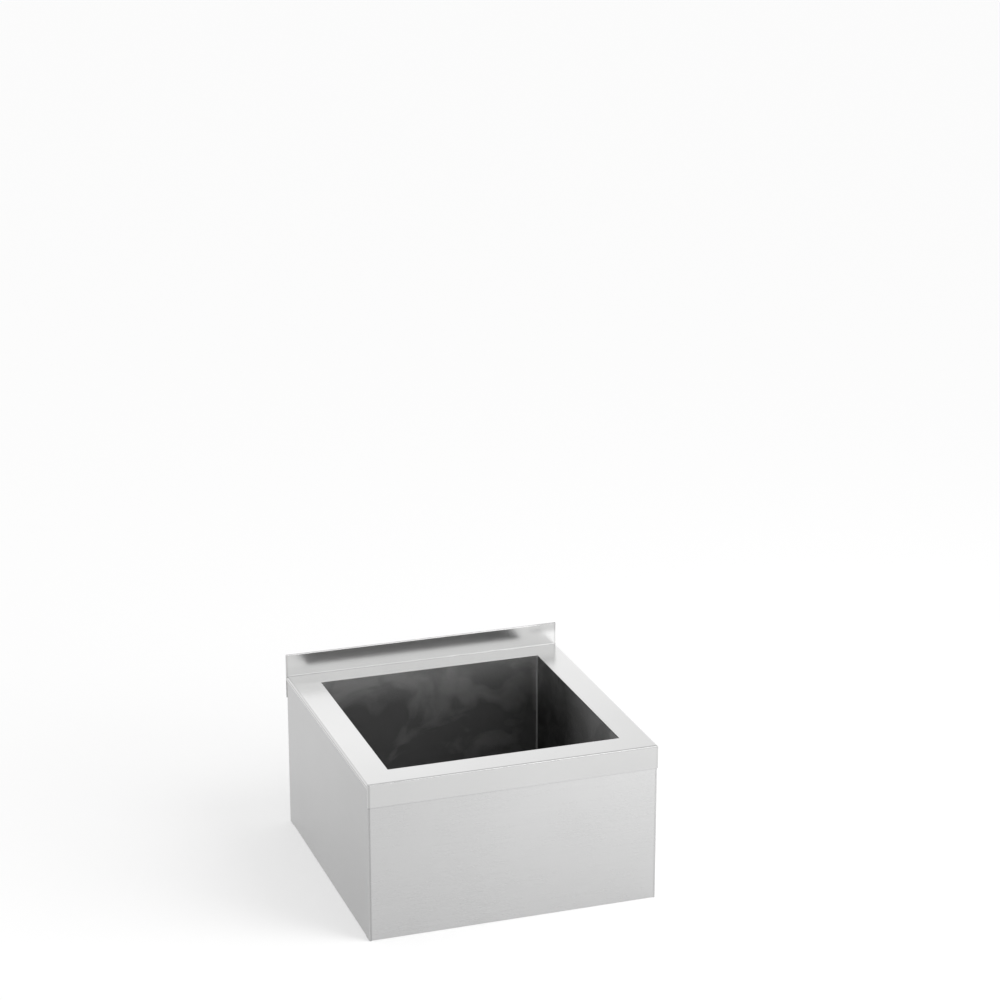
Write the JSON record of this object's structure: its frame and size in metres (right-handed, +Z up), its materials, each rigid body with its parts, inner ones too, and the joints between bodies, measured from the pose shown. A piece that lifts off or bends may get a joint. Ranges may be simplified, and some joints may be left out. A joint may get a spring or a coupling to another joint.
{
  "type": "mop service sink",
  "caption": "Floor-standing stainless steel mop sink: deep square bowl, folded deck with front lip and low upstand, closed skirt, and a drain with lift-out strainer and stopper.",
  "frame": {"origin": "on the ground, below the middle of the sink's outline", "axes": "+Z up, +Y towards the wall behind the upstand, so the front faces -Y; +X to the right seen from the front"},
  "size_m": [0.635, 0.635, 0.4001],
  "materials": {
    "deck_steel": "fine satin, brushed along the length",
    "skirt_steel": "fine satin",
    "bowl_steel": "satin, softly clouded by polishing",
    "support_steel": "mill finish",
    "pad_rubber": "matt",
    "drain_steel": "pressed and polished",
    "seal_rubber": "smooth, matt",
    "fibre": "pressed fibre",
    "brass": "cast, dull",
    "strainer_steel": "pressed and polished",
    "turned_steel": "turned, bright"
  },
  "bodies": {
    "sink": {"top_deck": "deck_steel", "left_side_panel": "skirt_steel", "right_side_panel": "skirt_steel", "front_panel": "skirt_steel", "rear_panel": "skirt_steel", "corner_gussets": "support_steel", "bowl_wrap": "bowl_steel", "bowl_left_end": "bowl_steel", "bowl_right_end": "bowl_steel", "front_channel": "support_steel", "rear_channel": "support_steel", "channel_strips": "pad_rubber", "sound_pads": "pad_rubber", "drain_body": "drain_steel", "drain_gasket": "seal_rubber", "fibre_ring": "fibre", "drain_locknut": "brass", "outlet_washer": "seal_rubber", "outlet_nut": "brass"},
    "strainer": {"strainer_basket": "strainer_steel"},
    "stopper": {"lift_post": "turned_steel", "lift_knob": "turned_steel", "backing_washer": "turned_steel", "rubber_stopper": "seal_rubber", "post_nut": "brass"}
  },
  "joints": [
    {"name": "strainer_lift", "type": "slide", "parent": "sink", "child": "strainer", "axis": [0, 0, 1], "range_m": [0, 0.36]},
    {"name": "stopper_lift", "type": "slide", "parent": "strainer", "child": "stopper", "axis": [0, 0, 1], "range_m": [0, 0.007]}
  ]
}
